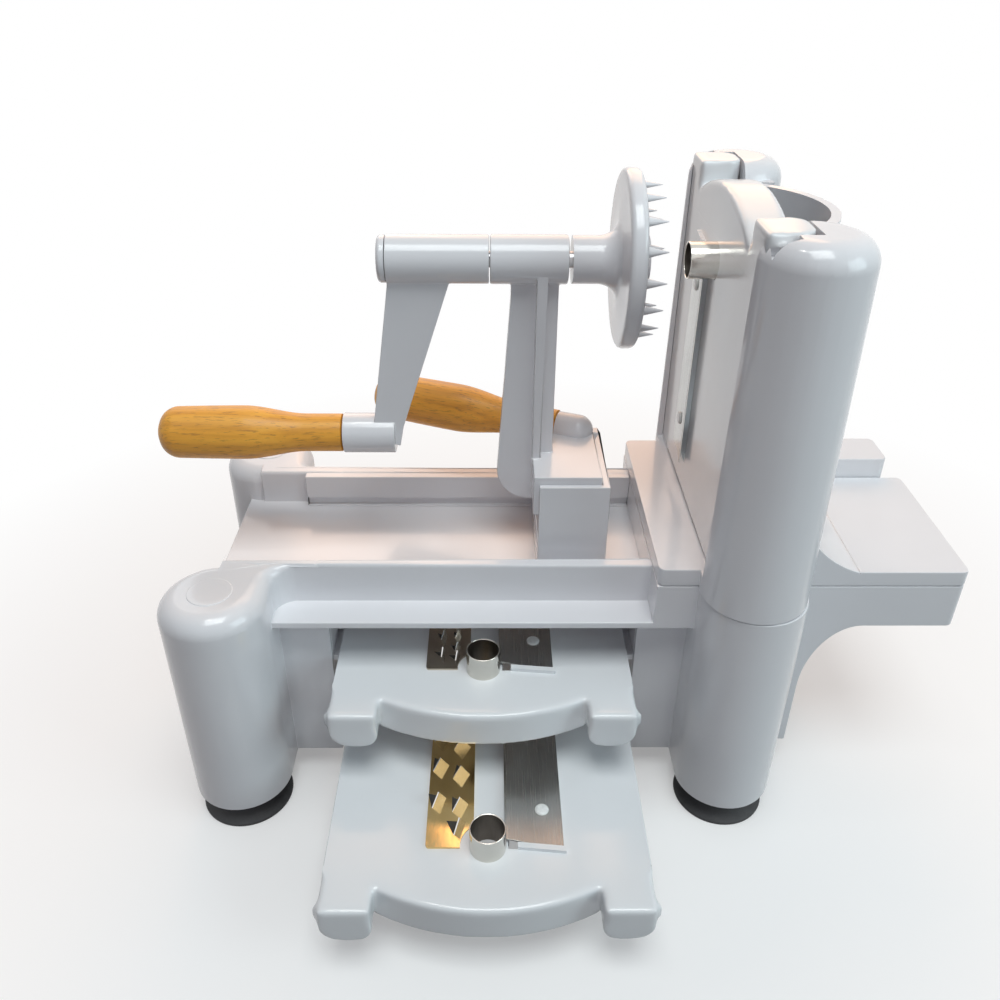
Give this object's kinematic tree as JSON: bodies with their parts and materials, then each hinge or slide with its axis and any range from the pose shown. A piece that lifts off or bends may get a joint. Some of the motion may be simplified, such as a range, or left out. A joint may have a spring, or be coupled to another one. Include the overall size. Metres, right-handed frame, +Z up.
{
  "type": "hand-cranked spiralizer",
  "caption": "Hand-cranked spiral vegetable slicer: legged base with a sliding crank carriage, spiked wheel, blade tower, output tray and spare blade plates stored under the bed.",
  "frame": {"origin": "on the table plane, under the middle of the overall box", "axes": "+Z up; +X along the carriage travel toward the blade tower and output tray; +Y to the far side, away from where the stored blade plates pull out"},
  "size_m": [0.3306, 0.2159, 0.2565],
  "materials": {
    "white_plastic": "glossy moulded white plastic",
    "foot_rubber": "matt dark rubber",
    "zinc_steel": "plain drawn steel",
    "bushing_bronze": "sintered bronze",
    "grip_wood": "satin varnished turned wood",
    "ring_steel": "polished stainless tube",
    "blade_steel": "ground stainless blade",
    "tooth_steel": "punched stainless strip",
    "stud_plastic": "milky melted stud heads"
  },
  "bodies": {
    "base": {"base_shell": "white_plastic", "suction_feet": "foot_rubber", "leg_caps": "white_plastic", "front_guide_strip": "white_plastic", "rear_guide_strip": "white_plastic", "left_storage_rack": "white_plastic", "right_storage_rack": "white_plastic", "tower_frame": "white_plastic", "tray_top": "white_plastic", "tray_underside": "white_plastic", "rear_ledge": "white_plastic", "tower_screws": "zinc_steel"},
    "carriage": {"carriage_slider": "white_plastic", "carriage_post": "white_plastic", "shaft_bushings": "bushing_bronze", "push_stud": "zinc_steel", "push_grip": "grip_wood"},
    "crank": {"drive_shaft": "zinc_steel", "spiked_wheel": "white_plastic", "crank_arm": "white_plastic", "crank_cap": "white_plastic", "grip_bolt": "zinc_steel"},
    "handgrip": {"crank_grip": "grip_wood"},
    "tower_blade_plate": {"tower_plate": "white_plastic", "tower_core_ring": "ring_steel", "tower_blade": "blade_steel", "tower_rivets": "stud_plastic"},
    "upper_blade_plate": {"upper_plate": "white_plastic", "upper_core_ring": "ring_steel", "upper_blade": "blade_steel", "upper_tooth_strip": "tooth_steel", "upper_rivets": "stud_plastic"},
    "lower_blade_plate": {"lower_plate": "white_plastic", "lower_core_ring": "ring_steel", "lower_blade": "blade_steel", "lower_tooth_strip": "tooth_steel", "lower_rivets": "stud_plastic"}
  },
  "joints": [
    {"name": "carriage_slide", "type": "slide", "parent": "base", "child": "carriage", "axis": [1, 0, 0], "range_m": [-0.095, 0.01]},
    {"name": "crank_spin", "type": "hinge", "parent": "carriage", "child": "crank", "pos_m": [-0.01572, 0.03155, 0.224], "axis": [1, 0, 0], "continuous": true},
    {"name": "grip_spin", "type": "hinge", "parent": "crank", "child": "handgrip", "pos_m": [-0.12773, 0.03155, 0.1515], "axis": [1, 0, 0], "continuous": true},
    {"name": "tower_plate_lift", "type": "slide", "parent": "base", "child": "tower_blade_plate", "axis": [0, 0, 1], "range_m": [0, 0.05]},
    {"name": "upper_plate_pull", "type": "slide", "parent": "base", "child": "upper_blade_plate", "axis": [0, -1, 0], "range_m": [-0.02, 0.045]},
    {"name": "lower_plate_pull", "type": "slide", "parent": "base", "child": "lower_blade_plate", "axis": [0, -1, 0], "range_m": [-0.0795, 0.0115]}
  ]
}
